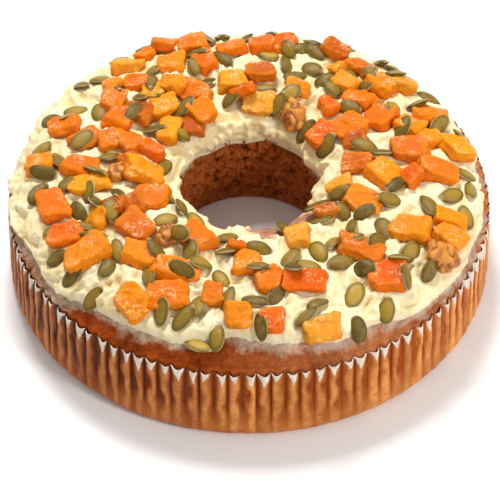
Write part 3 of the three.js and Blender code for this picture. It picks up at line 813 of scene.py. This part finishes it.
# Frosting. Cream cheese beaten with sugar, spooned on cold so that it keeps heaps, furrows and small
# crests, thin at its edge, and pushed up a little round what was pressed into it.
frosting_steps = 600
frosting_low = math.radians(3)
outer_row = np.linspace(0, 1, 46)
inner_row = np.linspace(1, 0, 40)[1:]
under_row = np.linspace(0, 1, 14)
frosting_outline = [(crown_radius + 46 - 40 * s, 40 + 30 * s) for s in outer_row]
frosting_outline += [(crown_radius - 46 + 40 * s, 40 + 30 * s) for s in inner_row]
frosting_outline += [(crown_radius - 38 + 76 * s, 30.0) for s in under_row]
frosting_outline = np.array(frosting_outline)
frosting = spin_section("cream_cheese_frosting", frosting_outline, frosting_steps)
turn, number = nearest_on_outline(frosting, frosting_outline)
outer_count = len(outer_row)
top_count = outer_count + len(inner_row)
is_outer = number < outer_count
is_under = number >= top_count
inside = ~is_outer & ~is_under
share_up = np.where(is_outer, outer_row[np.minimum(number, outer_count - 1)], 0)
share_up = np.where(inside, inner_row[np.clip(number - outer_count, 0, len(inner_row) - 1)], share_up)

# It has run down a little at the back of the hole
drip_turn, drip_half_turn, drip_reach, drip_thickness = 95, 34, math.radians(13), 2.2
sunk, edge_sunk = 0.9, 0.4
drip = drip_reach * bell(np.degrees(turn) - drip_turn, drip_half_turn) * (1 + 0.5 * np.sin(9 * turn))
edge = np.where(inside, inner_edge(turn) - drip, outer_edge(turn)) - frosting_low
rise = edge + (math.pi / 2 - edge) * share_up
crossing = under_row[np.clip(number - top_count, 0, len(under_row) - 1)]
under_inside = crossing < 0.5
under_edge = np.where(under_inside, inner_edge(turn) - drip, outer_edge(turn)) - frosting_low
under_share = 1 - np.abs(crossing * 2 - 1) * 0.98
under_rise = under_edge + (math.pi / 2 - under_edge) * under_share
inside = np.where(is_under, under_inside, inside)
rise = np.where(is_under, under_rise, rise)
thickness = np.where(is_under, -sunk, frosting_at(inside, rise, turn))
drip_film = drip_thickness * smooth((rise - edge - frosting_low) / math.radians(12))
drip_film *= smooth(drip / math.radians(4))
least_thickness = np.where(is_under, -sunk, np.where(inside, drip_film, 0) - edge_sunk)
thickness = np.maximum(thickness, least_thickness)
radius, height = crown_point(inside, rise, turn, thickness + rim_swell(inside, rise))
places = round_axis(radius, turn, height)
put_points(frosting, places)

# Crests of the spoon, flattened under the toppings, and the frosting pushed up round them
under_topping = np.zeros(len(places))
pushed_up = np.zeros(len(places))
for item in fruit + seeds:
    dx, dy = places[:, 0] - item["x"], places[:, 1] - item["y"]
    near = np.abs(dx) + np.abs(dy) < 30
    a = dx[near] * math.cos(item["yaw"]) + dy[near] * math.sin(item["yaw"])
    b = -dx[near] * math.sin(item["yaw"]) + dy[near] * math.cos(item["yaw"])
    off = np.hypot(a / (item["half"][0] + 0.6), b / (item["half"][1] + 0.6))
    under_topping[near] = np.maximum(under_topping[near], smooth((1.2 - off) / 0.3))
    pushed_up[near] = np.maximum(pushed_up[near], bell(off - 1.08, 0.16))
bends = np.column_stack([grain(places + 300, 17), grain(places + 400, 17), np.zeros(len(places))])
crests = grain(places + bends * 9, 11, "ridged")
ripples = grain(places + bends * 5 + 80, 5.2, "ridged")
small = grain(places + bends * 3 + 10, 2.6, "ridged") - 0.5
crest_height, ripple_height, small_height, pushed_height = 3.3, 2.1, 0.35, 0.7
from_edge = smooth((rise - edge - math.radians(2)) / math.radians(12))
spooned = crest_height * (crests - 0.6) + ripple_height * (ripples - 0.5)
push = from_edge * (1 - under_topping) * spooned
push += from_edge * (pushed_height * pushed_up + small_height * small)

# A patch scraped bare at the front right of the hole's edge, where the cake shows through
patch_turn, patch_half_turn, patch_rise, patch_half_rise, patch_depth = 297, 27, 38, 25, 1.3
along_patch = degrees_from(turn, patch_turn) / patch_half_turn
across_patch = (np.degrees(rise) - patch_rise) / patch_half_rise
patch_reach = np.hypot(along_patch, across_patch) + 0.35 * grain(places + 500, 6)
scraped = np.where(inside & ~is_under, smooth((1.05 - patch_reach) / 0.3), 0)
push = np.where(is_under, 0, push * (1 - scraped) - patch_depth * scraped)
push_out(frosting, places, push)
keep_value(frosting, "scraped", scraped)
# Painted shade: the furrows between the spoon's crests, for the material to darken.
keep_value(frosting, "furrow_shade", np.clip(0.75 - crests, 0, 1) * from_edge)
bpy.ops.object.shade_smooth()
keep_value(frosting, "thin", np.where(is_under, 1, 1 - smooth(thickness / 2.2)))

soft_light = {"Subsurface_Weight": 0.15, "Subsurface_Scale": 0.003, "Specular_IOR_Level": 0.4}
cream, tree, shader = new_material("cream_cheese_frosting", 0.38, **soft_light)
shader.inputs["Subsurface Radius"].default_value = (1.0, 0.8, 0.45)
cream_cloud = speckle(tree, 60, 4, 0.5)
cream_grain = speckle(tree, 700, 3, 0.6)
cream_colour = blend_colour(tree, cream_cloud, paint("f2deaa"), paint("f4e7c2"))
cream_colour = tint(tree, cream_colour, cream_grain, 0.25, "e8d090")
# Painted shade: darker and yellower in the furrows.
cream_colour = tint(tree, cream_colour, stored(tree, "furrow_shade"), 0.5, "e8c87e")
cream_colour = tint(tree, cream_colour, stored(tree, "thin"), 0.55, "e2d2ae")
bare_cake = blend_colour(tree, speckle(tree, 420, 6, 0.7), paint("8e3c1a"), paint("c08868"))
bare_share = times(tree, stored(tree, "scraped"), 0.92)
cream_colour = blend_colour(tree, bare_share, cream_colour, bare_cake)
tree.links.new(cream_colour, shader.inputs["Base Color"])
bump(tree, shader, speckle(tree, 240, 3, 0.5), 0.4, 0.0011)
place_piece(frosting, cream, "frosting", "frosting")


# Diced apricots. Dried halves cut into lumps with a knife: slabs with soft corners, wrinkled and glossy,
# from bright orange to amber and brown. The larger ones take the forms of their solids.
fruit_colours = {
    "o": ["e27a04", "de7004", "e4840a"],
    "r": ["e25c00", "e46600", "da5200"],
    "a": ["e69208", "e28806", "e89c10"],
    "b": ["c8620c", "c05c0e", "d06e12"],
    "d": ["a24406", "ac4e0a", "983e04"],
    "p": ["de9824", "d88e1c", "e2a430"],
}
drawn_fruit = np.random.default_rng(11)


def join_pieces(pieces, name):
    """Joins finished copies into one piece."""
    bpy.ops.object.select_all(action="DESELECT")
    for piece in pieces:
        piece.select_set(True)
    bpy.context.view_layer.objects.active = pieces[0]
    bpy.ops.object.join()
    joined = bpy.context.object
    joined.name = name
    return joined


def copy_of_solid(node):
    """A copy of a solid's mesh, its doubled corners merged."""
    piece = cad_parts[node].copy()
    piece.data = piece.data.copy()
    piece.parent = None
    for key in list(piece.keys()):
        del piece[key]
    piece.data.materials.clear()
    scene.collection.objects.link(piece)
    bpy.ops.object.select_all(action="DESELECT")
    piece.select_set(True)
    bpy.context.view_layer.objects.active = piece
    bpy.ops.object.mode_set(mode="EDIT")
    bpy.ops.mesh.select_all(action="SELECT")
    bpy.ops.mesh.remove_doubles(threshold=1e-6)
    bpy.ops.object.mode_set(mode="OBJECT")
    return piece


def keep_colour(piece, name, colour):
    """Stores one colour for the whole of a lump, before it is joined to the others."""
    store = piece.data.attributes.new(name, "FLOAT_COLOR", "POINT")
    store.data.foreach_set("color", np.tile(colour, len(piece.data.vertices)).astype(np.float32))


def dice_lump(item):
    """A slab of eight corners, chamfered and skewed, in its pose."""
    a, b, c = item["half"]
    skew = item["skew"]
    bpy.ops.mesh.primitive_cylinder_add(vertices=8, radius=1, depth=2, end_fill_type="TRIFAN")
    piece = bpy.context.object
    for vertex in piece.data.vertices:
        x, y, level = vertex.co
        level = round(level)
        on_axis = math.hypot(x, y) < 0.5
        corner = round(math.atan2(y, x) / (math.pi / 4)) & 7
        quarter = corner >> 1
        angle = (quarter + 0.5) * (math.pi / 2) + math.radians(7 if corner & 1 else -7)
        wide = 0 if on_axis else 1.27 * (0.9 if level > 0 else 1) * skew[quarter]
        shift = level * (skew[4 + quarter] - 1) * 0.7
        tall = c * level * (1.06 if on_axis else skew[(quarter + 5) & 7])
        corner_place = Vector((a * (wide * math.cos(angle) + shift), b * wide * math.sin(angle), tall))
        vertex.co = item["pose"] @ corner_place * millimetre
    return piece


lump_cell = 0.7
lump_swelling = 0.4
lump_warp = 1.5


def soften_lump(piece, wrinkle, item):
    """Takes the edge off a lump's corners and wrinkles its faces as drying does."""
    finish_with(piece, "REMESH", mode="VOXEL", voxel_size=lump_cell * millimetre, use_smooth_shade=True)
    finish_with(piece, "SMOOTH", factor=0.35, iterations=1)
    places = points_of(piece)
    centre = np.array(item["pose"].translation)
    shifted = places + 7 * centre
    dents = grain(shifted, 6.5) + 0.7 * grain(shifted, 3.2)
    crease = grain((shifted + 31) * (0.5, 1, 1), 3.4, "ridged") - 0.5
    folds = grain(shifted + 61, 2.2, "ridged") - 0.5
    push = wrinkle * (dents + crease + 0.6 * folds) + lump_swelling
    warp = np.column_stack([grain(shifted + 200, 8), grain(shifted + 260, 8), 0.4 * grain(shifted + 330, 8)])
    push_out(piece, places, push, lump_warp * warp)
    local = (places - centre) @ np.array(item["pose"].to_3x3())
    outwards = np.abs(local / np.array(item["half"]))
    keep_value(piece, "rim", np.clip(np.maximum(outwards[:, 0], outwards[:, 1]) - 0.55, 0, 1) * 2)
    keep_value(piece, "underside_shade", np.clip(0.2 - local[:, 2] / item["half"][2], 0, 1))
    keep_value(piece, "upwards", normals_of(piece)[:, 2])
    shades = fruit_colours[item["tone"]]
    keep_colour(piece, "lump_colour", paint(shades[drawn_fruit.integers(len(shades))]))
    return piece


dice = []
apricots = [item for item in fruit if item["kind"] == "apricot"]
for k, item in enumerate(apricots):
    dice.append(soften_lump(copy_of_solid(f"apricot_{k + 1}"), 0.5, item))
scraps = []
for item in (item for item in fruit if item["kind"] == "scrap"):
    scraps.append(soften_lump(dice_lump(item), 0.4, item))

soft_light = {"Subsurface_Weight": 0.3, "Subsurface_Scale": 0.003, "Specular_IOR_Level": 0.13}
flesh, tree, shader = new_material("dried_apricot", 0.15, **soft_light)
shader.inputs["Subsurface Radius"].default_value = (1.0, 0.4, 0.06)
fibre = speckle(tree, 330, 6, 0.65)
pulp = speckle(tree, 1100, 4, 0.6)
flesh_colour = tint(tree, stored(tree, "lump_colour", "Color"), fibre, 0.45, "d84e02")
# Lighter at the edges of each lump: partly the thin fruit's own paler colour, partly painted highlight.
flesh_colour = tint(tree, flesh_colour, stored(tree, "rim"), 0.3, "f09c10")
# Painted shade: the lower part of each lump is painted darker and redder.
flesh_colour = tint(tree, flesh_colour, stored(tree, "underside_shade"), 0.55, "cc4402")
flesh_colour = tint(tree, flesh_colour, pulp, 0.12, "ffb430")

# Painted glints: pale broken flecks along the creases of the upper faces, painted into the colour as
# highlights
from_crease = calculate(tree, "SUBTRACT", speckle(tree, 420, 3, 0.5, 0.0, 1.0), 0.5)
crease = spread(tree, calculate(tree, "ABSOLUTE", from_crease), 0.028, 0.006)
glint_patch = times(tree, crease, speckle(tree, 90, 2, 0.5, 0.5, 0.6))
painted_glint = times(tree, glint_patch, spread(tree, stored(tree, "upwards"), 0.4, 0.8))
flesh_colour = tint(tree, flesh_colour, painted_glint, 0.7, "ffdcae")
tree.links.new(flesh_colour, shader.inputs["Base Color"])
tree.links.new(spread(tree, fibre, least=0.06, most=0.2), shader.inputs["Roughness"])
wrinkles = calculate(tree, "ADD", fibre, times(tree, pulp, 0.3))
bump(tree, shader, wrinkles, 0.4, 0.0009)
dice_nodes = [f"apricot_{k + 1}" for k in range(len(dice))]
place_piece(join_pieces(dice, "apricot_dice"), flesh, "apricot", *dice_nodes)
place_piece(join_pieces(scraps, "apricot_scraps"), flesh, "apricot")


# Pumpkin seeds. Hulled kernels: flat drops with a blunt and a pointed end, a raised rim and a thin skin
# that is olive green, in places grey or yellow. They are strewn on and stick in the frosting.
seed_colours = ["86681a", "70540e", "94761e", "a4842a", "7c5e14", "b08e38", "543e08", "8a6c26"]
drawn_seeds = np.random.default_rng(5)
kernels = []
bpy.ops.mesh.primitive_uv_sphere_add(segments=20, ring_count=12, radius=1, location=(0, 0, 0))
pattern_kernel = bpy.context.object
for vertex in pattern_kernel.data.vertices:
    x, y, z = vertex.co
    out = math.hypot(x, y)
    hollow = 1.12 * (1 - 0.3 * bell(out - 0.82, 0.12)) + 0.1 * bell(out - 0.95, 0.08)
    point = 1 - 0.22 * max(0.0, x) ** 1.5 + 0.22 * max(0.0, -x) ** 3
    vertex.co = (x * (1 + 0.06 * max(0.0, x) ** 6), y * point * 1.06, z * hollow)
flat = points_of(pattern_kernel) * millimetre
for item in seeds:
    kernel = pattern_kernel.copy()
    kernel.data = pattern_kernel.data.copy()
    scene.collection.objects.link(kernel)
    a, b, c = item["half"]
    cup = drawn_seeds.uniform(-0.5, 0.7)
    twist = drawn_seeds.uniform(-0.08, 0.08)
    local = np.column_stack([flat[:, 0] * a, flat[:, 1] * b + twist * a * flat[:, 0] ** 2, flat[:, 2] * c])
    local[:, 2] += cup * (0.4 - flat[:, 0] ** 2)
    pose = np.array(item["pose"])
    put_points(kernel, local @ pose[:3, :3].T + pose[:3, 3])
    shade = drawn_seeds.uniform(0.5, 1.1)
    skin_tone = np.array(paint(seed_colours[drawn_seeds.integers(len(seed_colours))])) * shade
    keep_colour(kernel, "kernel_colour", skin_tone)
    keep_value(kernel, "kernel_rim", np.hypot(flat[:, 0], flat[:, 1]))
    keep_value(kernel, "kernel_end", flat[:, 0])
    kernels.append(kernel)
bpy.data.objects.remove(pattern_kernel)
seed_piece = join_pieces(kernels, "pumpkin_seeds")
bpy.ops.object.shade_smooth()

kernel_skin, tree, shader = new_material("pumpkin_kernel", 0.16, Specular_IOR_Level=0.24)
skin_cloud = speckle(tree, 240, 5, 0.6)
skin_grain = speckle(tree, 1800, 3, 0.6)
kernel_rim = stored(tree, "kernel_rim")
skin_colour = tint(tree, stored(tree, "kernel_colour", "Color"), skin_cloud, 0.3, "a68834")
# Painted shade: each seed darkens towards its rounded rim.
skin_colour = tint(tree, skin_colour, spread(tree, kernel_rim, 0.6, 0.96), 0.75, "3e320a")
skin_colour = tint(tree, skin_colour, spread(tree, kernel_rim, 0.975), 0.65, "bca868")
skin_colour = tint(tree, skin_colour, spread(tree, stored(tree, "kernel_end"), 0.82), 0.5, "c8b67c")
skin_colour = tint(tree, skin_colour, skin_grain, 0.12, "b49e54")
tree.links.new(skin_colour, shader.inputs["Base Color"])
bump(tree, shader, calculate(tree, "ADD", skin_cloud, skin_grain), 0.3, 0.0003)
place_piece(seed_piece, kernel_skin, "frosting")


# Walnut pieces. Broken kernels, lobed and furrowed, with a tan skin over pale flesh, pressed in by hand.
walnut_cell = 0.5
lobe_height, vein_height, walnut_swelling = 2.4, 0.3, 0.3
walnuts = []
for k in range(len(walnut_spots)):
    lump = copy_of_solid(f"walnut_{k + 1}")
    finish_with(lump, "REMESH", mode="VOXEL", voxel_size=walnut_cell * millimetre, use_smooth_shade=True)
    finish_with(lump, "SMOOTH", factor=0.5, iterations=4)
    places = points_of(lump)
    wander = np.column_stack([grain(places, 5), grain(places + 40, 5), grain(places + 80, 5)])
    lobes = 1 - grain((places + 2.5 * wander) * (1, 0.6, 0.6), 3.6, "ridged")
    veins = 1 - grain(places + 2 * wander + 60, 2.4, "ridged")
    push = lobe_height * np.minimum(lobes, 0.5) + vein_height * np.minimum(veins, 0.6)
    push_out(lump, places, push + walnut_swelling)
    finish_with(lump, "SMOOTH", factor=0.5, iterations=3)
    keep_value(lump, "ridge", np.clip(1.8 * lobes + 0.2 * veins, 0, 1))
    walnuts.append(lump)
walnut_piece = join_pieces(walnuts, "walnut_pieces")
walnut_skin, tree, shader = new_material("walnut_kernel", 0.35, Specular_IOR_Level=0.35)
skin_cloud = speckle(tree, 300, 5)
ridge = spread(tree, stored(tree, "ridge"), high=0.9)
# The colour runs from dark brown in the furrows to light tan on the crests of the lobes.
walnut_colour = blend_colour(tree, ridge, paint("5c2204"), paint("d88e34"))
walnut_colour = tint(tree, walnut_colour, skin_cloud, 0.5, "a2500c")
tree.links.new(walnut_colour, shader.inputs["Base Color"])
bump(tree, shader, skin_cloud, 0.5, 0.0007)
place_piece(walnut_piece, walnut_skin, "walnut", *[f"walnut_{k + 1}" for k in range(len(walnuts))])

bpy.ops.object.select_all(action="DESELECT")
